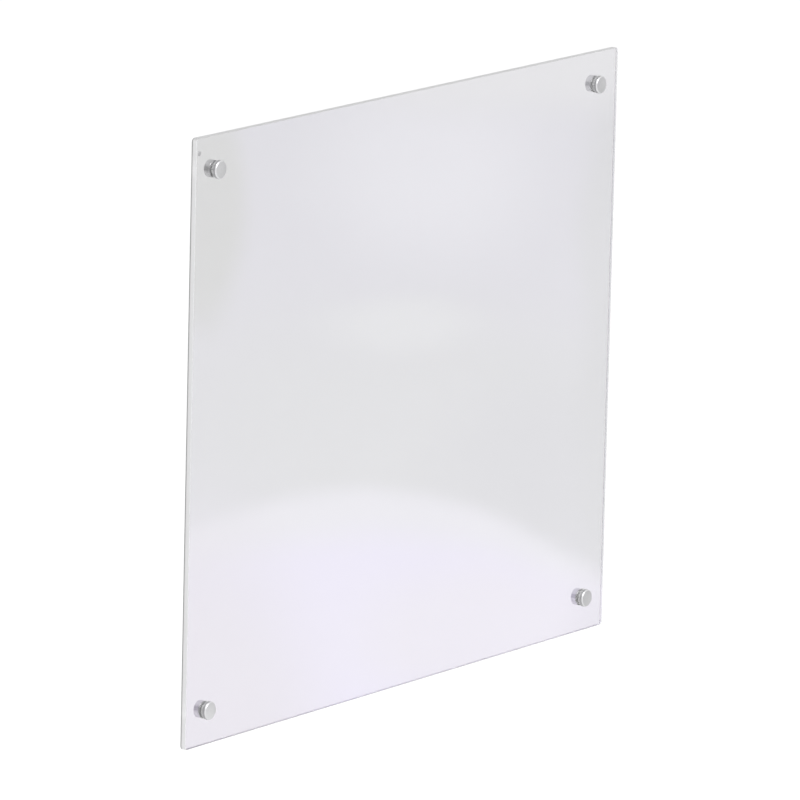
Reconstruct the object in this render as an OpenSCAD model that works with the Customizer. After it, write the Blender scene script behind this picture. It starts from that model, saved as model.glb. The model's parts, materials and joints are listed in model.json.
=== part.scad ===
// Sneeze guard: a flat glass panel that four screw-together standoffs hold off a wall.
//
// The origin is the centre of the four fixing-screw holes, on the wall plane.
// X runs along the panel, Z is up, and the panel stands in front of the wall, towards -Y.
// Each standoff stacks outwards from the wall: barrel, rear washer, panel, front washer, cap.
// A threaded stud, fixed in the cap, passes through a sleeve in the panel's hole
// and screws into the barrel, so that unscrewing the caps frees the panel.

/* [Glass panel] */
// Width of the glass
panel_w = 700; // [400:10:1200]
// Height of the glass
panel_h = 600; // [300:10:900]
// Thickness of the glass
panel_t = 6; // [4:1:10]
// Radius of the glass's four corners
corner_r = 4; // [2:0.5:10]
// Width of the small ground flat along every edge of the glass
arris = 0.5; // [0.2:0.1:0.8]
// Distance from the glass's edges to the centre of each standoff
hole_inset = 34; // [20:1:80]
// Diameter of the hole drilled in the glass for each standoff
glass_hole_d = 14; // [14:0.5:15]

/* [Safety mark] */
// Diameter of the round fired-on mark in the top left corner
mark_d = 5; // [3:0.5:8]
// Thickness of the mark's enamel
mark_t = 0.1; // [0.1:0.05:0.3]
// Distance from the glass's left edge to the mark's centre
mark_from_left = 5; // [4:0.5:15]
// Distance from the glass's top edge to the mark's centre
mark_from_top = 15; // [6:0.5:20]

/* [Standoff barrels] */
// Outer diameter of the barrel between the wall and the glass
barrel_d = 17; // [17:0.5:25]
// Length of the barrel, which sets the gap behind the glass
barrel_len = 7; // [7:1:30]
// Thickness of the barrel's floor, which the screw head pulls against the wall
floor_t = 2.8; // [2.6:0.1:2.8]
// Bevel around both rims of the barrel
barrel_bevel = 0.4; // [0.2:0.1:0.8]
// Diameter of the fixing-screw hole in the floor
screw_hole_d = 4.6; // [3.6:0.1:5.2]
// Diameter of the countersink for the screw's head
countersink_d = 7.8; // [7:0.2:8.4]

/* [Standoff caps] */
// Outer diameter of the cap in front of the glass
cap_d = 18; // [18:0.5:26]
// Thickness of the cap
cap_len = 4; // [4:0.5:8]
// Chamfer around the cap's front rim
cap_chamfer = 1; // [0.4:0.1:1.5]
// Bevel around the cap's rear rim
cap_bevel = 0.3; // [0.1:0.1:0.5]
// Depth of the blind socket that holds the stud
socket_depth = 2.6; // [2:0.2:2.8]

/* [Threaded stud] */
// Nominal thread diameter
stud_d = 10; // [8:0.5:10]
// Length of stud that is screwed into the barrel
thread_engagement = 3.8; // [3:0.1:3.8]
// Radial clearance of the running thread fit
thread_clearance = 0.05; // [0.02:0.01:0.1]
// Chamfer on both ends of the stud
stud_chamfer = 0.8; // [0.4:0.1:1]

/* [Washers and sleeves] */
// Outer diameter of the soft washer between the barrel and the glass
rear_washer_d = 16; // [15.5:0.5:16.5]
// Outer diameter of the soft washer between the glass and the cap
front_washer_d = 17.5; // [15.5:0.5:17.5]
// Thickness of the soft washers
washer_t = 0.6; // [0.5:0.1:2]
// Radial clearance between the stud and the washers or the sleeve
stud_clearance = 0.3; // [0.3:0.1:0.6]
// Radial clearance between the sleeve and the hole in the glass
sleeve_clearance = 0.1; // [0.05:0.05:0.2]

/* [Hidden] */
$fn = 96;

// Each corner's name, with its sign along X and its sign along Z
CORNERS = [
    ["top_left", -1, 1],
    ["top_right", 1, 1],
    ["bottom_left", -1, -1],
    ["bottom_right", 1, -1]
];
PIECES = ["barrel", "rear_washer", "hole_sleeve", "front_washer", "stud", "cap"];

// Spacing of the four standoffs
spacing_x = panel_w - 2 * hole_inset;
spacing_z = panel_h - 2 * hole_inset;

// Distances out from the wall to each face of the stack
glass_rear = barrel_len + washer_t;
glass_front = glass_rear + panel_t;
cap_rear = glass_front + washer_t;
stud_start = barrel_len - thread_engagement;
stud_end = cap_rear + socket_depth;

// How far a cutter runs past the face that it cuts
past = 1;

// A rectangle on the XY plane whose four corners are cut off at 45 degrees
module cut_corner_rectangle(size_x, size_y, cut) {
    x = size_x / 2;
    y = size_y / 2;
    polygon([
        [x - cut, -y], [x, cut - y], [x, y - cut], [x - cut, y],
        [cut - x, y], [-x, y - cut], [-x, cut - y], [cut - x, -y]
    ]);
}

// A turned disc with its own bevel on the rear rim and on the front rim
module turned_disc(d, len, rear_bevel, front_bevel) {
    r = d / 2;
    rotate_extrude()
        polygon([
            [0, 0], [r - rear_bevel, 0], [r, rear_bevel],
            [r, len - front_bevel], [r - front_bevel, len], [0, len]
        ]);
}

// A flat ring that starts at a height above the wall
module ring(outer_d, inner_d, height, len) {
    translate([0, 0, height])
        difference() {
            cylinder(d = outer_d, h = len);
            translate([0, 0, -past])
                cylinder(d = inner_d, h = len + 2 * past);
        }
}

// Stands its children on the wall at a corner's screw hole, with their Z axis out from the wall
module at_corner(corner) {
    translate([corner[1] * spacing_x / 2, 0, corner[2] * spacing_z / 2])
        rotate([90, 0, 0])
            children();
}

// A bar of glass along Z, as deep as the glass is thick, with its four long edges arrised
module arrised_bar(size_x, len) {
    linear_extrude(len, center = true)
        cut_corner_rectangle(size_x, panel_t, arris);
}

// The glass without its holes: an upright and a lying bar cross, and discs round the corners
module glass_blank() {
    arrised_bar(panel_w, panel_h - 2 * corner_r);
    rotate([0, 90, 0])
        arrised_bar(panel_h, panel_w - 2 * corner_r);
    for (corner = CORNERS)
        translate([
            corner[1] * (panel_w / 2 - corner_r), panel_t / 2, corner[2] * (panel_h / 2 - corner_r)
        ])
            rotate([90, 0, 0])
                turned_disc(2 * corner_r, panel_t, arris, arris);
}

// The cutter for one hole in the glass, with a small chamfer at each face
module glass_hole() {
    translate([0, 0, glass_rear - past])
        cylinder(d = glass_hole_d, h = panel_t + 2 * past);
    translate([0, 0, glass_rear])
        cylinder(d1 = glass_hole_d + 2 * arris, d2 = glass_hole_d, h = arris);
    translate([0, 0, glass_front - arris])
        cylinder(d1 = glass_hole_d, d2 = glass_hole_d + 2 * arris, h = arris);
}

module glass_panel() {
    color([0.89, 0.89, 0.92, 0.45])
        difference() {
            translate([0, -(glass_rear + glass_front) / 2, 0])
                glass_blank();
            for (corner = CORNERS)
                at_corner(corner)
                    glass_hole();
        }
}

module safety_mark() {
    color([0.62, 0.62, 0.63])
        translate([mark_from_left - panel_w / 2, -glass_front, panel_h / 2 - mark_from_top])
            rotate([90, 0, 0])
                cylinder(d = mark_d, h = mark_t);
}

module barrel() {
    sink_depth = (countersink_d - screw_hole_d) / 2;
    color([0.66, 0.66, 0.67])
        difference() {
            turned_disc(barrel_d, barrel_len, barrel_bevel, barrel_bevel);
            translate([0, 0, -past])
                cylinder(d = screw_hole_d, h = floor_t + 2 * past);
            translate([0, 0, floor_t - sink_depth])
                cylinder(d1 = screw_hole_d, d2 = countersink_d, h = sink_depth);
            translate([0, 0, floor_t])
                cylinder(d = stud_d + 2 * thread_clearance, h = barrel_len - floor_t + past);
        }
}

module rear_washer() {
    color([0.86, 0.86, 0.87, 0.7])
        ring(rear_washer_d, stud_d + 2 * stud_clearance, barrel_len, washer_t);
}

module hole_sleeve() {
    outer_d = glass_hole_d - 2 * sleeve_clearance;
    color([0.93, 0.93, 0.93, 0.8])
        ring(outer_d, stud_d + 2 * stud_clearance, glass_rear, panel_t);
}

module front_washer() {
    color([0.86, 0.86, 0.87, 0.7])
        ring(front_washer_d, stud_d + 2 * stud_clearance, glass_front, washer_t);
}

module stud() {
    color([0.58, 0.58, 0.6])
        translate([0, 0, stud_start])
            turned_disc(stud_d, stud_end - stud_start, stud_chamfer, stud_chamfer);
}

module cap() {
    color([0.8, 0.8, 0.81])
        translate([0, 0, cap_rear])
            difference() {
                turned_disc(cap_d, cap_len, cap_bevel, cap_chamfer);
                translate([0, 0, -past])
                    cylinder(d = stud_d, h = socket_depth + past);
            }
}

glass_panel();
safety_mark();
for (corner = CORNERS) {
    at_corner(corner) barrel();
    at_corner(corner) rear_washer();
    at_corner(corner) hole_sleeve();
    at_corner(corner) front_washer();
    at_corner(corner) stud();
    at_corner(corner) cap();
}
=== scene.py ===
"""Looks of the sneeze guard: a toughened glass panel on four turned steel standoffs.

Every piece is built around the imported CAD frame, in metres. The wall is the plane Y = 0 and the
panel stands in front of it, towards -Y, so "out" below is a distance from the wall along -Y.
"""

import json
import math

import bmesh
import bpy
from mathutils import Matrix, Quaternion, Vector
from mathutils.geometry import tessellate_polygon


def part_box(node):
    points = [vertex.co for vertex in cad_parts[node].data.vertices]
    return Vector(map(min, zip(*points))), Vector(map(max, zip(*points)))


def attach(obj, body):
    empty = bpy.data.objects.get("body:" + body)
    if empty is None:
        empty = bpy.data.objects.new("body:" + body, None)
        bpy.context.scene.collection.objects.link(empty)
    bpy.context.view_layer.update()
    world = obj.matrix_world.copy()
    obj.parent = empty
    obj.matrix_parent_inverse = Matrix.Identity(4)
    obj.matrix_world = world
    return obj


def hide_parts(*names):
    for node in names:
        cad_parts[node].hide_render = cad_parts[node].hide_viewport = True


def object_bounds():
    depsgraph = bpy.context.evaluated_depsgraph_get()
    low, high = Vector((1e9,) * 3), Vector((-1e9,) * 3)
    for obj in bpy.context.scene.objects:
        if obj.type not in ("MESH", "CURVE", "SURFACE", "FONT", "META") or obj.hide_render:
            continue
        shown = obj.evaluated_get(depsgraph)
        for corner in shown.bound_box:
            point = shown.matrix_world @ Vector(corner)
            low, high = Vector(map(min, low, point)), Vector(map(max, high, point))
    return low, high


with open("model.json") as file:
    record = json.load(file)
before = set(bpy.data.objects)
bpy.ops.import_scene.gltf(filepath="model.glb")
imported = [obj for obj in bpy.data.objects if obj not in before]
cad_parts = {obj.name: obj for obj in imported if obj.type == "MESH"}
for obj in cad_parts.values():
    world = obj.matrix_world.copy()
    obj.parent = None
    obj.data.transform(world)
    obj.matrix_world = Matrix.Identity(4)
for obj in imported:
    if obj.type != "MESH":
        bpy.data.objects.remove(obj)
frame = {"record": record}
cad_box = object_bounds()

MM = 0.001
CORNERS = ("top_left", "top_right", "bottom_left", "bottom_right")
PANEL_BODY = "fixed_panel"

# Mesh fineness
TURN_STEPS = 96          # faces around a turned piece
FILLET_STEPS = 4         # faces along a small rounded edge
THREAD_STEPS = 12        # rings along one turn of a thread
GLASS_CORNER_STEPS = 12  # faces around one corner of the glass
WELD_DISTANCE = 1e-7     # vertices closer than this become one
ON_AXIS = 1e-6           # a smaller radius counts as a point on the axis

# Edges sharper than this stay sharp, in degrees
SHARP_TURNED = 35
SHARP_GLASS = 25
SHARP_THREAD = 50

# The thread that joins each cap to its barrel
THREAD_PITCH = 1.0 * MM
THREAD_DEPTH = 0.55 * MM
THREAD_FLANK_SLOPE = 1.35    # above 1, so that the crests and the roots are flat
THREAD_ROOT_FLAT = 0.15

# The glass
GLASS_ARRIS = 0.5 * MM
GLASS_CORNER_RADIUS = 4 * MM
HOLE_CLEARANCE = 0.1 * MM    # between a sleeve and its hole in the glass
POLISHED, GROUND, CLEARER = 0, 1, 2    # material slots of the sheet
# painted shade on the ground glass edges: EDGE_DARK is laid on where edge_shade says, near the left
# rear arris and along the top
EDGE_LIGHT = (0.93, 0.93, 0.94)
EDGE_DARK = (0.3, 0.3, 0.3)
LEFT_SHADE = (4 * MM, 60 * MM)       # from the left edge: full shade, then none
REAR_SHADE = (2.0 * MM, 1.0 * MM)    # from the glass's back: no shade, then full
TOP_SHADE = (2.5 * MM, 0.2 * MM)     # from the upper edge: no shade, then its share
TOP_SHADE_SHARE = 0.55

# The standoffs' turned edges and hidden faces
CAP_CHAMFER = 1.0 * MM
CAP_REAR_BEVEL = 0.3 * MM
CAP_FILLET = 0.12 * MM
# painted shade on the caps' side walls, standing in for a dark reflection
CAP_SIDE_PAINTED_SHADE = (0.5, 0.5, 0.51)
BARREL_BEVEL = 0.4 * MM
BARREL_FILLET = 0.1 * MM
FLOOR_GAP = 0.4 * MM         # between the stud's end and the barrel's floor
SINK_DEPTH = 1.6 * MM        # of the countersink in the floor
BORE_CLEARANCE = 0.05 * MM   # between the stud and the barrel's thread
STUD_CHAMFER = 0.8 * MM
STUD_CLEARANCE = 0.3 * MM    # between the stud and the rings around it
WASHER_FILLET = 0.2 * MM
SLEEVE_FILLET = 0.3 * MM
MARK_FILLET = 0.03 * MM


# ---------------------------------------------------------------- places in the frame

def out_range(node):
    """How far out from the wall a node starts and ends."""
    low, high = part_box(node)
    return -high.y, -low.y


def centre(node):
    """The middle of a node's box."""
    low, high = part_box(node)
    return (low + high) / 2


def radius(node):
    """The outer radius of a turned node."""
    low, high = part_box(node)
    return (high.x - low.x) / 2


def screw_hole_radius():
    """The radius of the fixing holes that the record's mount states."""
    for mount in frame["record"]["mounts"]:
        if mount["name"] == "fixing_holes":
            return mount["dims"]["hole_r_mm"] * MM
    raise ValueError("the record has no fixing holes")


# ---------------------------------------------------------------- mesh building

def mesh_object(name, bm, sharp_angle=SHARP_TURNED):
    """Turns a bmesh into a smooth-shaded object whose edges over the angle stay sharp."""
    bmesh.ops.remove_doubles(bm, verts=bm.verts, dist=WELD_DISTANCE)
    bmesh.ops.recalc_face_normals(bm, faces=bm.faces)
    for face in bm.faces:
        face.smooth = True
    for edge in bm.edges:
        if edge.is_manifold and edge.calc_face_angle() > math.radians(sharp_angle):
            edge.smooth = False
    mesh = bpy.data.meshes.new(name)
    bm.to_mesh(mesh)
    bm.free()
    piece = bpy.data.objects.new(name, mesh)
    bpy.context.scene.collection.objects.link(piece)
    return piece


def stand_out(piece, node):
    """Puts a piece that was turned about Z on a node's axis, with its Z out from the wall."""
    middle = centre(node)
    turn = Matrix.Rotation(math.radians(90), 4, "X")
    piece.matrix_world = Matrix.Translation((middle.x, 0, middle.z)) @ turn
    return piece


def filleted(corners, fillet):
    """A closed outline of (radius, out) corners, with every corner off the axis rounded."""
    points = []
    for i, here in enumerate(corners):
        here = Vector(here)
        before = Vector(corners[i - 1])
        after = Vector(corners[(i + 1) % len(corners)])
        if here.x < ON_AXIS:
            points.append(here)
            continue
        start = here + (before - here).normalized() * fillet
        end = here + (after - here).normalized() * fillet
        for step in range(FILLET_STEPS + 1):
            t = step / FILLET_STEPS
            points.append(start.lerp(here, t).lerp(here.lerp(end, t), t))
    return points


def circle_of(bm, r, z):
    """A circle of vertices about Z, or one vertex on the axis."""
    if r < ON_AXIS:
        return [bm.verts.new((0, 0, z))] * TURN_STEPS
    angles = (math.tau * k / TURN_STEPS for k in range(TURN_STEPS))
    return [bm.verts.new((r * math.cos(a), r * math.sin(a), z)) for a in angles]


def bridge(bm, lower, upper):
    """Faces between two circles of vertices, either of which may be a point."""
    for k in range(len(lower)):
        n = (k + 1) % len(lower)
        corners = dict.fromkeys((lower[k], lower[n], upper[n], upper[k]))
        if len(corners) > 2:
            bm.faces.new(list(corners))


def turned(name, corners, fillet):
    """Revolves a closed outline of (radius, out) corners about Z."""
    bm = bmesh.new()
    circles = [circle_of(bm, *point) for point in filleted(corners, fillet)]
    for lower, upper in zip(circles, circles[1:] + circles[:1]):
        bridge(bm, lower, upper)
    return mesh_object(name, bm)


def thread_cut(z, turn_share):
    """How deep a right-hand thread cuts at a height and a share of a turn."""
    phase = (z / THREAD_PITCH - turn_share) % 1.0
    flank = abs(2 * phase - 1) * THREAD_FLANK_SLOPE - THREAD_ROOT_FLAT
    return THREAD_DEPTH * (1 - min(1.0, max(0.0, flank)))


# ---------------------------------------------------------------- material building

class Surface:
    """A material with a Principled shader, and short ways to add procedural nodes to it."""

    def __init__(self, name):
        self.material = bpy.data.materials.new(name)
        self.material.use_nodes = True
        self.tree = self.material.node_tree
        self.shader = self.tree.nodes["Principled BSDF"]

    def add(self, kind, **settings):
        """A new node with its properties set."""
        node = self.tree.nodes.new(kind)
        for key, value in settings.items():
            setattr(node, key, value)
        return node

    def link(self, source, target):
        self.tree.links.new(source, target)

    def fix(self, socket, value):
        """Sets a shader socket to a value that is the same all over the surface."""
        self.shader.inputs[socket].default_value = value

    def drive(self, socket, source):
        """Links a varying source to a shader socket."""
        self.link(source, self.shader.inputs[socket])

    def place(self, stretch=(1, 1, 1)):
        """The piece's own coordinates in metres, stretched."""
        mapping = self.add("ShaderNodeMapping")
        mapping.inputs["Scale"].default_value = stretch
        self.link(self.add("ShaderNodeTexCoord").outputs["Object"], mapping.inputs["Vector"])
        return mapping.outputs["Vector"]

    def lathe_place(self):
        """(radius, out, 0) of a turned piece, so that noise in it runs in rings."""
        split = self.add("ShaderNodeSeparateXYZ")
        self.link(self.place(), split.inputs["Vector"])
        flat = self.add("ShaderNodeCombineXYZ")
        self.link(split.outputs["X"], flat.inputs["X"])
        self.link(split.outputs["Y"], flat.inputs["Y"])
        length = self.add("ShaderNodeVectorMath", operation="LENGTH")
        self.link(flat.outputs["Vector"], length.inputs[0])
        rings = self.add("ShaderNodeCombineXYZ")
        self.link(length.outputs["Value"], rings.inputs["X"])
        self.link(split.outputs["Z"], rings.inputs["Y"])
        return rings.outputs["Vector"]

    def noise(self, place, scale, detail=2.0, roughness=0.5):
        """A soft random factor, whose scale is in patches per metre."""
        node = self.add("ShaderNodeTexNoise")
        node.inputs["Scale"].default_value = scale
        node.inputs["Detail"].default_value = detail
        node.inputs["Roughness"].default_value = roughness
        self.link(place, node.inputs["Vector"])
        return node.outputs["Fac"]

    def between(self, factor, low, high, start=0.0, end=1.0):
        """Maps a factor from start..end to low..high."""
        node = self.add("ShaderNodeMapRange")
        node.inputs["From Min"].default_value = start
        node.inputs["From Max"].default_value = end
        node.inputs["To Min"].default_value = low
        node.inputs["To Max"].default_value = high
        self.link(factor, node.inputs["Value"])
        return node.outputs["Result"]

    def ramp(self, factor, *stops):
        """A colour from (position, colour) stops along a factor."""
        node = self.add("ShaderNodeValToRGB")
        elements = node.color_ramp.elements
        while len(elements) < len(stops):
            elements.new(0.5)
        for element, (position, colour) in zip(elements, stops):
            element.position = position
            element.color = (*colour, 1)
        self.link(factor, node.inputs["Fac"])
        return node.outputs["Color"]

    def bump(self, height, strength, distance):
        """Roughens the surface by a height factor; the distance is in metres."""
        node = self.add("ShaderNodeBump")
        node.inputs["Strength"].default_value = strength
        node.inputs["Distance"].default_value = distance
        self.link(height, node.inputs["Height"])
        self.drive("Normal", node.outputs["Normal"])


def mix_colours(m, mask, base, colour):
    """Lays a colour over a base colour where a mask says so."""
    node = m.add("ShaderNodeMix", data_type="RGBA")
    m.link(mask, node.inputs["Factor"])
    under, over = node.inputs[6], node.inputs[7]    # the node's two colour inputs
    if isinstance(base, tuple):
        under.default_value = (*base, 1)
    else:
        m.link(base, under)
    over.default_value = (*colour, 1)
    return node.outputs[2]    # its colour output


def clear_glass():
    """Polished low-iron glass: nearly neutral, with faint waves and wipe marks."""
    m = Surface("low_iron_glass")
    m.fix("Transmission Weight", 1.0)
    m.fix("IOR", 1.5)
    cloud = m.noise(m.place(), scale=3.0)
    m.drive("Base Color", m.ramp(cloud, (0.3, (0.67, 0.67, 0.673)), (0.7, (0.683, 0.683, 0.686))))
    wipes = m.noise(m.place((1, 1, 0.25)), scale=9.0, detail=4.0, roughness=0.6)
    m.drive("Roughness", m.between(wipes, low=0.0, high=0.03, start=0.45, end=0.8))
    return m.material


def edge_shade(m):
    """Painted shade of an edge: how dark it is along the rear arris near the panel's left side, and
    on top.
    """
    low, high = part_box("glass_panel")
    split = m.add("ShaderNodeSeparateXYZ")
    m.link(m.place(), split.inputs["Vector"])
    x_ends = (low.x + LEFT_SHADE[0], low.x + LEFT_SHADE[1])
    y_ends = (high.y - REAR_SHADE[0], high.y - REAR_SHADE[1])
    z_ends = (high.z - TOP_SHADE[0], high.z - TOP_SHADE[1])
    left = m.between(split.outputs["X"], 1, 0, *x_ends)
    rear = m.add("ShaderNodeMath", operation="MULTIPLY")
    m.link(m.between(split.outputs["Y"], 0, 1, *y_ends), rear.inputs[0])
    m.link(left, rear.inputs[1])
    top = m.between(split.outputs["Z"], 0, TOP_SHADE_SHARE, *z_ends)
    shade = m.add("ShaderNodeMath", operation="MAXIMUM")
    m.link(rear.outputs["Value"], shade.inputs[0])
    m.link(top, shade.inputs[1])
    return shade.outputs["Value"]


def ground_edge(name, clearness, smooth, rough):
    """A ground edge of the glass: fine grain with painted shade from edge_shade, and as clear and as
    rough as asked.
    """
    m = Surface(name)
    m.fix("Transmission Weight", clearness)
    m.fix("IOR", 1.5)
    shade = edge_shade(m)
    grain = m.noise(m.place(), scale=900.0, detail=3.0, roughness=0.6)
    # the grain darkens the edge, and the painted shade from edge_shade is added on top of it
    grit_and_painted_shade = m.add("ShaderNodeMath", operation="MULTIPLY_ADD")
    grit_and_painted_shade.inputs[1].default_value = 0.12    # how much the grain darkens
    m.link(grain, grit_and_painted_shade.inputs[0])
    m.link(shade, grit_and_painted_shade.inputs[2])
    m.drive("Base Color", m.ramp(grit_and_painted_shade.outputs["Value"], (0.0, EDGE_LIGHT), (1.0, EDGE_DARK)))
    m.drive("Roughness", m.between(grain, smooth, rough))
    m.bump(grain, strength=0.15, distance=0.0001)
    return m.material


def lathe_steel(name, dark, light, smooth, rough, paint_shade_beyond=None):
    """Steel with the fine rings that a lathe leaves, and, beyond a radius, a side darkened by
    painted shade.
    """
    m = Surface(name)
    m.fix("Metallic", 1.0)
    m.fix("Anisotropic", 0.4)
    tangent = m.add("ShaderNodeTangent", direction_type="RADIAL", axis="Z")
    m.drive("Tangent", tangent.outputs["Tangent"])
    lathe = m.lathe_place()
    rings = m.noise(lathe, scale=5200.0, detail=3.0, roughness=0.7)
    patches = m.noise(m.place(), scale=160.0, detail=3.0, roughness=0.6)
    colour = m.ramp(rings, (0.25, dark), (0.75, light))
    # painted shade: the side wall beyond the radius is mixed towards a grey that stands in for a
    # dark reflection
    if paint_shade_beyond:
        split = m.add("ShaderNodeSeparateXYZ")
        m.link(lathe, split.inputs["Vector"])
        paint_shade_full_at = paint_shade_beyond + 0.05 * MM
        painted_shade_mask = m.between(split.outputs["X"], 0, 0.85, start=paint_shade_beyond, end=paint_shade_full_at)
        colour = mix_colours(m, painted_shade_mask, colour, CAP_SIDE_PAINTED_SHADE)
    m.drive("Base Color", colour)
    m.drive("Roughness", m.between(patches, smooth, rough, start=0.3, end=0.7))
    m.bump(rings, strength=0.25, distance=0.00004)
    return m.material


def soft_vinyl():
    """Clear vinyl of the washers, slightly milky and pitted."""
    m = Surface("clear_vinyl")
    m.fix("Transmission Weight", 0.15)
    m.fix("IOR", 1.45)
    milk = m.noise(m.place(), scale=500.0, detail=3.0)
    m.drive("Base Color", m.ramp(milk, (0.3, (0.9, 0.9, 0.91)), (0.7, (0.97, 0.97, 0.97))))
    m.drive("Roughness", m.between(milk, low=0.12, high=0.3))
    m.bump(milk, strength=0.1, distance=0.00005)
    return m.material


def natural_nylon():
    """Natural nylon of the sleeves: milky white, with faint moulding flow."""
    m = Surface("natural_nylon")
    m.fix("Transmission Weight", 0.35)
    m.fix("IOR", 1.53)
    flow = m.noise(m.place((1, 1, 4)), scale=300.0, detail=3.0)
    m.drive("Base Color", m.ramp(flow, (0.3, (0.86, 0.86, 0.85)), (0.7, (0.93, 0.93, 0.92))))
    m.drive("Roughness", m.between(flow, low=0.35, high=0.5))
    m.bump(flow, strength=0.1, distance=0.0001)
    return m.material


def fired_enamel():
    """Grey enamel of the safety mark, fired on in a fine stipple."""
    m = Surface("fired_enamel")
    m.fix("Transmission Weight", 0.3)
    stipple = m.noise(m.place(), scale=2600.0, detail=2.0, roughness=0.6)
    m.drive("Base Color", m.ramp(stipple, (0.35, (0.38, 0.38, 0.39)), (0.65, (0.58, 0.58, 0.59))))
    m.drive("Roughness", m.between(stipple, low=0.35, high=0.6))
    m.bump(stipple, strength=0.3, distance=0.00005)
    return m.material


# ---------------------------------------------------------------- the glass panel

def rounded_rectangle(low, high, inset, y):
    """Corner-rounded outline of the panel at one depth, inset from its full size."""
    r = GLASS_CORNER_RADIUS
    points = []
    corners = (
        (low.x + r, low.z + r, 180), (high.x - r, low.z + r, 270),
        (high.x - r, high.z - r, 0), (low.x + r, high.z - r, 90),
    )
    for x, z, start in corners:
        for step in range(GLASS_CORNER_STEPS + 1):
            angle = math.radians(start + 90 * step / GLASS_CORNER_STEPS)
            reach = r - inset
            points.append((x + reach * math.cos(angle), y, z + reach * math.sin(angle)))
    return points


def hole_outline(middle, r, y):
    """Outline of a drilled hole at one depth."""
    angles = (math.tau * k / TURN_STEPS for k in range(TURN_STEPS))
    return [(middle.x + r * math.cos(a), y, middle.z + r * math.sin(a)) for a in angles]


def edge_finish(middle, low, high):
    """Material slot of an edge face: the right and lower walls are clearer than the rest."""
    arris = middle.y < low.y + GLASS_ARRIS or middle.y > high.y - GLASS_ARRIS
    right = middle.x > high.x - GLASS_CORNER_RADIUS
    bottom = middle.z < low.z + GLASS_CORNER_RADIUS and middle.x > low.x + GLASS_CORNER_RADIUS
    return CLEARER if (right or bottom) and not arris else GROUND


def glass_sheet():
    """The panel with its four holes: polished faces, ground edges and ground hole walls."""
    low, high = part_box("glass_panel")
    levels = (
        (low.y, GLASS_ARRIS), (low.y + GLASS_ARRIS, 0),
        (high.y - GLASS_ARRIS, 0), (high.y, GLASS_ARRIS),
    )
    bm = bmesh.new()
    layers = []
    for y, inset in levels:
        loops = [rounded_rectangle(low, high, inset, y)]
        for corner in CORNERS:
            sleeve = f"{corner}_hole_sleeve"
            hole_r = radius(sleeve) + HOLE_CLEARANCE + inset
            loops.append(hole_outline(centre(sleeve), hole_r, y))
        layers.append([[bm.verts.new(point) for point in loop] for loop in loops])
    for front, rear in zip(layers, layers[1:]):
        for front_loop, rear_loop in zip(front, rear):
            bridge(bm, front_loop, rear_loop)
    for face in bm.faces:
        face.material_index = edge_finish(face.calc_center_median(), low, high)
    for layer in (layers[0], layers[-1]):
        verts = [vert for loop in layer for vert in loop]
        for triangle in tessellate_polygon([[vert.co for vert in loop] for loop in layer]):
            bm.faces.new([verts[i] for i in triangle]).material_index = POLISHED
    piece = mesh_object("glass_sheet", bm, SHARP_GLASS)
    clear = clear_glass()
    satin = ground_edge("ground_glass_edge", clearness=0.3, smooth=0.30, rough=0.45)
    bright = ground_edge("polished_glass_edge", clearness=0.95, smooth=0.04, rough=0.10)
    for material in (clear, satin, bright):
        piece.data.materials.append(material)
    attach(piece, PANEL_BODY)
    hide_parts("glass_panel")
    return piece


# ---------------------------------------------------------------- the standoffs

def place_piece(piece, node, body, material):
    """Puts a turned piece on its node's axis, gives it its material, fastens it to its body and
    hides the node.
    """
    stand_out(piece, node)
    piece.data.materials.append(material)
    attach(piece, body)
    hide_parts(node)


def cap_piece(corner):
    """A cap with its blind socket, which ends where the stud does."""
    node = f"{corner}_cap"
    rear, front = out_range(node)
    r = radius(node)
    stud_r = radius(f"{corner}_stud")
    socket = out_range(f"{corner}_stud")[1]
    outline = [
        (stud_r, rear), (r - CAP_REAR_BEVEL, rear), (r, rear + CAP_REAR_BEVEL),
        (r, front - CAP_CHAMFER), (r - CAP_CHAMFER, front), (0, front),
        (0, socket), (stud_r, socket),
    ]
    return turned(f"{corner}_turned_cap", outline, CAP_FILLET)


def barrel_piece(corner):
    """A barrel with ringed grooves for its thread, and a countersunk screw hole in its floor."""
    node = f"{corner}_barrel"
    rear, front = out_range(node)
    r = radius(node)
    bore_r = radius(f"{corner}_stud") + BORE_CLEARANCE
    screw_r = screw_hole_radius()
    floor = out_range(f"{corner}_stud")[0] - FLOOR_GAP
    outline = [
        (screw_r, rear), (r - BARREL_BEVEL, rear), (r, rear + BARREL_BEVEL),
        (r, front - BARREL_BEVEL), (r - BARREL_BEVEL, front), (bore_r + THREAD_DEPTH, front),
    ]
    grooves = int((front - floor) / THREAD_PITCH)
    for i in range(grooves):
        crest = front - (i + 0.5) * THREAD_PITCH
        outline.append((bore_r, crest))
        if i < grooves - 1:
            outline.append((bore_r + THREAD_DEPTH, crest - THREAD_PITCH / 2))
    outline += [(bore_r, floor), (screw_r + SINK_DEPTH, floor), (screw_r, floor - SINK_DEPTH)]
    return turned(f"{corner}_turned_barrel", outline, BARREL_FILLET)


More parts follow.
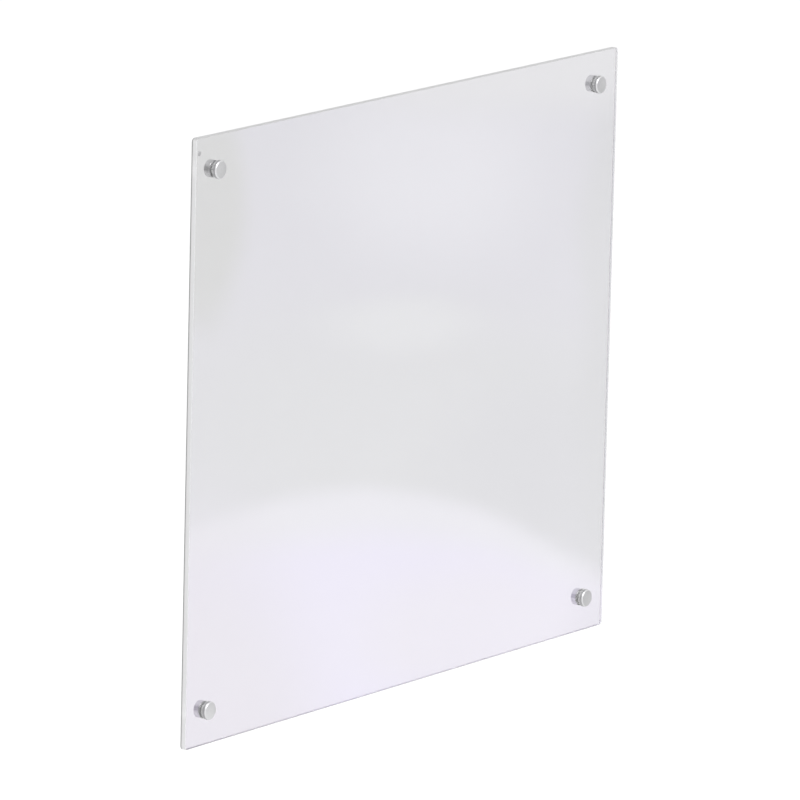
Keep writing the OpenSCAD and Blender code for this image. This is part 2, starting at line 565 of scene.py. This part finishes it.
def stud_piece(corner):
    """A stud with a real right-hand thread, chamfered at both ends."""
    node = f"{corner}_stud"
    start, end = out_range(node)
    r = radius(node)
    bm = bmesh.new()
    count = round((end - start) / THREAD_PITCH * THREAD_STEPS)
    circles = []
    for i in range(count + 1):
        z = start + (end - start) * i / count
        ceiling = r - max(0, STUD_CHAMFER - (z - start), STUD_CHAMFER - (end - z))
        circle = []
        for k in range(TURN_STEPS):
            share = k / TURN_STEPS
            reach = min(ceiling, r - thread_cut(z, share))
            x, y = math.cos(math.tau * share), math.sin(math.tau * share)
            circle.append(bm.verts.new((reach * x, reach * y, z)))
        circles.append(circle)
    for lower, upper in zip(circles, circles[1:]):
        bridge(bm, lower, upper)
    bm.faces.new(circles[0])
    bm.faces.new(circles[-1])
    return mesh_object(f"{corner}_threaded_stud", bm, SHARP_THREAD)


def ring_piece(node, name, inner_r, fillet):
    """A washer or a sleeve with softly rounded edges."""
    rear, front = out_range(node)
    r = radius(node)
    return turned(name, [(inner_r, rear), (r, rear), (r, front), (inner_r, front)], fillet)


def standoff(corner, finishes):
    """All six pieces that clamp the glass at one corner."""
    ring_bore = radius(f"{corner}_stud") + STUD_CLEARANCE
    washer_body = f"{corner}_washer_body"
    cap_body = f"{corner}_cap_body"
    barrel = barrel_piece(corner)
    place_piece(barrel, f"{corner}_barrel", PANEL_BODY, finishes["steel"])
    for side, body in (("rear", PANEL_BODY), ("front", washer_body)):
        node = f"{corner}_{side}_washer"
        washer = ring_piece(node, f"{corner}_{side}_vinyl_washer", ring_bore, WASHER_FILLET)
        place_piece(washer, node, body, finishes["vinyl"])
    sleeve_node = f"{corner}_hole_sleeve"
    sleeve = ring_piece(sleeve_node, f"{corner}_nylon_sleeve", ring_bore, SLEEVE_FILLET)
    place_piece(sleeve, sleeve_node, PANEL_BODY, finishes["nylon"])
    place_piece(stud_piece(corner), f"{corner}_stud", cap_body, finishes["plated"])
    place_piece(cap_piece(corner), f"{corner}_cap", cap_body, finishes["cap"])


def safety_mark():
    """The round dot of enamel on the front of the glass."""
    node = "safety_mark"
    rear, front = out_range(node)
    r = radius(node)
    outline = [(0, rear), (r, rear), (r, front), (0, front)]
    piece = turned("safety_mark_dot", outline, MARK_FILLET)
    place_piece(piece, node, PANEL_BODY, fired_enamel())


# ---------------------------------------------------------------- camera, light and floor

VIEW_AZIMUTH = math.radians(-54.01)
VIEW_ELEVATION = math.radians(12.08)
VIEW_ROLL = math.radians(1.37)
VIEW_DISTANCE = 9.114
VIEW_LENS = 415.4
SENSOR_WIDTH = 36
FAR_CLIP = 500
AIM_OFFSET = Vector((-6.8 * MM, 0, -8.8 * MM))   # from the middle of the glass

FLOOR_SIZE = 400
FLOOR_DROP = 0.45                # below the panel's lower edge
WORLD_STRENGTH = 1.08
KEY_PLACE = Vector((-1.0, -3.3, 3.2))
KEY_SIZE = 3.0
KEY_POWER = 60

# The card that stands for the mirrored room; sizes and places are metres on the card
CARD_REACH = 1.6                 # its distance from the glass
CARD_SIZE = (1.0, 1.5)
CARD_GLOW = (0.45, 0.68)         # half size of the oval that glows
CARD_VEIL = (0.6, 0.6, 0.6)      # share of the white studio that shows through the card
AXES = ((1, 0, 0), (0, 1, 0), (0, 0, 1))
REFLECTION_STRENGTH = 3.2
ROOM_COLOUR = (0.23, 0.20, 0.37)
REFLECTED_PATCHES = (
    # middle, size, blur, weight, colour
    ((0.02, -0.03), (0.34, 0.13), 0.6, 1.0, (0.23, 0.23, 0.30)),
    ((0.17, -0.08), (0.11, 0.09), 0.7, 0.9, (0.14, 0.13, 0.23)),
    ((0.25, 0.10), (0.04, 0.40), 0.5, 0.8, (0.10, 0.10, 0.16)),
    ((0.04, 0.27), (0.12, 0.09), 0.7, 1.0, (0.48, 0.45, 0.62)),
    ((0.12, 0.40), (0.24, 0.06), 0.6, 0.9, (0.45, 0.43, 0.50)),
    ((0.0, 0.09), (0.08, 0.03), 0.6, 0.8, (0.40, 0.40, 0.47)),
    ((-0.22, 0.21), (0.045, 0.12), 0.35, 1.0, (0.02, 0.02, 0.02)),
    ((-0.05, -0.45), (0.40, 0.345), 0.05, 1.0, (0.56, 0.52, 0.70)),
    ((-0.05, -0.48), (0.42, 0.325), 0.09, 1.0, (0.60, 0.48, 0.95)),
    ((0.09, -0.27), (0.15, 0.07), 0.5, 1.0, (0.59, 0.48, 0.78)),
    ((-0.23, -0.38), (0.12, 0.22), 0.5, 0.9, (0.45, 0.34, 0.57)),
    ((0.25, -0.27), (0.05, 0.06), 0.8, 0.9, (0.34, 0.26, 0.50)),
)

# The flag that the turned steel mirrors
FLAG_DIRECTION = Vector((-0.75, 0.6, 0.05))
FLAG_DISTANCE = 2.0
FLAG_SIZE = 2.6
FLAG_OVAL = (1.1, 1.1)           # half size of the oval that shows


def view_rotation():
    """The camera's turn, from its azimuth, elevation and roll."""
    back = Vector((
        math.sin(VIEW_AZIMUTH) * math.cos(VIEW_ELEVATION),
        -math.cos(VIEW_AZIMUTH) * math.cos(VIEW_ELEVATION),
        math.sin(VIEW_ELEVATION),
    ))
    return back.to_track_quat("Z", "Y") @ Quaternion((0, 0, 1), VIEW_ROLL)


def add_camera():
    """The camera of the photo's view, aimed at the glass."""
    data = bpy.data.cameras.new("camera")
    data.lens = VIEW_LENS
    data.sensor_width = SENSOR_WIDTH
    data.clip_end = FAR_CLIP
    camera = bpy.data.objects.new("camera", data)
    bpy.context.scene.collection.objects.link(camera)
    turn = view_rotation()
    target = centre("glass_panel") + AIM_OFFSET
    camera.location = target + turn @ Vector((0, 0, VIEW_DISTANCE))
    camera.rotation_mode = "QUATERNION"
    camera.rotation_quaternion = turn
    bpy.context.scene.camera = camera
    bpy.context.view_layer.update()
    return camera


def plane(name, width, height):
    """A flat stage piece, centred on its origin and facing its own Z."""
    bm = bmesh.new()
    x, y = width / 2, height / 2
    verts = [bm.verts.new(point) for point in ((-x, -y, 0), (x, -y, 0), (x, y, 0), (-x, y, 0))]
    bm.faces.new(verts)
    mesh = bpy.data.meshes.new(name)
    bm.to_mesh(mesh)
    bm.free()
    piece = bpy.data.objects.new(name, mesh)
    bpy.context.scene.collection.objects.link(piece)
    return piece


def add_floor():
    """A pale floor, well below the panel."""
    floor = plane("floor", FLOOR_SIZE, FLOOR_SIZE)
    floor.location.z = cad_box[0][2] - FLOOR_DROP
    m = Surface("pale_floor")
    shade = m.noise(m.place(), scale=0.6)
    m.drive("Base Color", m.ramp(shade, (0.3, (0.93, 0.93, 0.93)), (0.7, (0.95, 0.95, 0.95))))
    m.fix("Roughness", 0.9)
    m.fix("Specular IOR Level", 0.1)
    floor.data.materials.append(m.material)


def swayed(m, place, scale, reach):
    """Coordinates on the card, drifting by a soft noise so that no shape is a clean oval."""
    drift = m.add("ShaderNodeTexNoise")
    drift.inputs["Scale"].default_value = scale
    drift.inputs["Detail"].default_value = 1.0
    m.link(place, drift.inputs["Vector"])
    middle = m.add("ShaderNodeVectorMath", operation="SUBTRACT")
    middle.inputs[1].default_value = (0.5, 0.5, 0.5)
    m.link(drift.outputs["Color"], middle.inputs[0])
    sway = m.add("ShaderNodeVectorMath", operation="MULTIPLY_ADD")
    sway.inputs[1].default_value = (reach, reach, 0)
    m.link(middle.outputs["Vector"], sway.inputs[0])
    m.link(place, sway.inputs[2])
    return sway.outputs["Vector"]


def soft_oval(m, place, middle, size, blur, weight=1.0):
    """A mask that is the weight inside an oval and fades to nothing across its blurred rim."""
    offset = m.add("ShaderNodeVectorMath", operation="SUBTRACT")
    offset.inputs[1].default_value = (*middle, 0)
    m.link(place, offset.inputs[0])
    scaled = m.add("ShaderNodeVectorMath", operation="DIVIDE")
    scaled.inputs[1].default_value = (*size, 1)
    m.link(offset.outputs["Vector"], scaled.inputs[0])
    length = m.add("ShaderNodeVectorMath", operation="LENGTH")
    m.link(scaled.outputs["Vector"], length.inputs[0])
    fade = m.add("ShaderNodeMapRange", interpolation_type="SMOOTHSTEP")
    fade.inputs["From Min"].default_value = 1 + blur
    fade.inputs["From Max"].default_value = 1 - blur
    fade.inputs["To Max"].default_value = weight
    m.link(length.outputs["Value"], fade.inputs["Value"])
    return fade.outputs["Result"]


def fade_out(m, shader, mask):
    """Shows a shader where the mask says so, and nothing beyond it."""
    rim = m.add("ShaderNodeMixShader")
    m.link(mask, rim.inputs["Fac"])
    m.link(m.add("ShaderNodeBsdfTransparent").outputs["BSDF"], rim.inputs[1])
    m.link(shader, rim.inputs[2])
    m.link(rim.outputs["Shader"], m.tree.nodes["Material Output"].inputs["Surface"])


def studio_reflection():
    """What the polished face mirrors: a dim room with soft pale lights, brightest low down."""
    m = Surface("studio_reflection")
    place = swayed(m, m.place(), scale=4.0, reach=0.06)
    colour = ROOM_COLOUR
    for middle, size, blur, weight, patch in REFLECTED_PATCHES:
        mask = soft_oval(m, place, middle, size, blur, weight)
        colour = mix_colours(m, mask, colour, patch)
    glow = m.add("ShaderNodeEmission")
    glow.inputs["Strength"].default_value = REFLECTION_STRENGTH
    m.link(colour, glow.inputs["Color"])
    veil = m.add("ShaderNodeBsdfTransparent")
    veil.inputs["Color"].default_value = (*CARD_VEIL, 1)
    both = m.add("ShaderNodeAddShader")
    m.link(glow.outputs["Emission"], both.inputs[0])
    m.link(veil.outputs["BSDF"], both.inputs[1])
    fade_out(m, both.outputs["Shader"], soft_oval(m, place, (0, 0), CARD_GLOW, blur=0.1))
    return m.material


def add_reflection_card(glass, camera):
    """A card that only the glass mirrors, square to the camera's mirrored line of sight."""
    card = plane("reflection_card", *CARD_SIZE)
    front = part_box("glass_panel")[0].y
    right, up, back = (camera.matrix_world.to_3x3() @ Vector(axis) for axis in AXES)
    eye = camera.matrix_world.translation
    mirror = Vector((1, -1, 1))
    mirrored_eye = Vector((eye.x, 2 * front - eye.y, eye.z))
    middle = mirrored_eye - back * mirror * (VIEW_DISTANCE + CARD_REACH)
    card.matrix_world = Matrix.Translation(middle) @ Matrix((
        right * mirror, up * mirror, -back * mirror,
    )).transposed().to_4x4()
    card.data.materials.append(studio_reflection())
    only_glossy(card)
    receivers = bpy.data.collections.new("glass_only")
    receivers.objects.link(glass)
    card.light_linking.receiver_collection = receivers


def only_glossy(piece):
    """Hides a stage piece from everything but mirror reflections."""
    piece.visible_camera = False
    piece.visible_diffuse = False
    piece.visible_transmission = False
    piece.visible_volume_scatter = False
    piece.visible_shadow = False


def add_dark_flag():
    """A dull grey flag behind the left of the panel, which gives the turned steel its dark sides."""
    flag = plane("dark_flag", FLAG_SIZE, FLAG_SIZE)
    place = FLAG_DIRECTION.normalized() * FLAG_DISTANCE
    turn = place.to_track_quat("Z", "Y")
    flag.matrix_world = Matrix.Translation(place) @ turn.to_matrix().to_4x4()
    m = Surface("dull_flag")
    shade = m.noise(m.place(), scale=2.0)
    m.drive("Base Color", m.ramp(shade, (0.3, (0.42, 0.42, 0.42)), (0.7, (0.5, 0.5, 0.5))))
    m.fix("Roughness", 0.9)
    m.fix("Specular IOR Level", 0)
    oval = soft_oval(m, m.place(), (0, 0), FLAG_OVAL, blur=0.15)
    fade_out(m, m.shader.outputs["BSDF"], oval)
    flag.data.materials.append(m.material)
    only_glossy(flag)


def add_key_light():
    """One large soft light from the upper left front, turned towards the origin."""
    data = bpy.data.lights.new("key_light", "AREA")
    data.shape = "DISK"
    data.size = KEY_SIZE
    data.energy = KEY_POWER
    light = bpy.data.objects.new("key_light", data)
    bpy.context.scene.collection.objects.link(light)
    light.location = KEY_PLACE
    light.rotation_mode = "QUATERNION"
    light.rotation_quaternion = KEY_PLACE.to_track_quat("Z", "Y")


def add_world():
    """An even white studio all around."""
    world = bpy.data.worlds.new("studio")
    world.use_nodes = True
    background = world.node_tree.nodes["Background"]
    background.inputs["Color"].default_value = (1, 1, 1, 1)
    background.inputs["Strength"].default_value = WORLD_STRENGTH
    bpy.context.scene.world = world


def add_studio():
    """The stage around the object: world, floor and light."""
    add_world()
    add_floor()
    add_key_light()
    bpy.context.scene.view_settings.view_transform = "Standard"


# ---------------------------------------------------------------- the whole scene

def standoff_finishes():
    """The materials that the four standoffs share."""
    return {
        "steel": lathe_steel(
            "turned_steel", dark=(0.56, 0.56, 0.57), light=(0.72, 0.72, 0.73),
            smooth=0.26, rough=0.38,
        ),
        # the caps: turned steel with painted shade on their side walls
        "cap": lathe_steel(
            "cap_steel_painted_side_shade", dark=(0.58, 0.58, 0.59), light=(0.74, 0.74, 0.75),
            smooth=0.28, rough=0.42, paint_shade_beyond=radius("top_left_cap") - CAP_FILLET,
        ),
        "plated": lathe_steel(
            "plated_steel", dark=(0.5, 0.5, 0.52), light=(0.66, 0.66, 0.67),
            smooth=0.2, rough=0.34,
        ),
        "vinyl": soft_vinyl(),
        "nylon": natural_nylon(),
    }


camera = add_camera()
glass = glass_sheet()
safety_mark()
finishes = standoff_finishes()
for corner in CORNERS:
    standoff(corner, finishes)
add_studio()
add_reflection_card(glass, camera)
add_dark_flag()
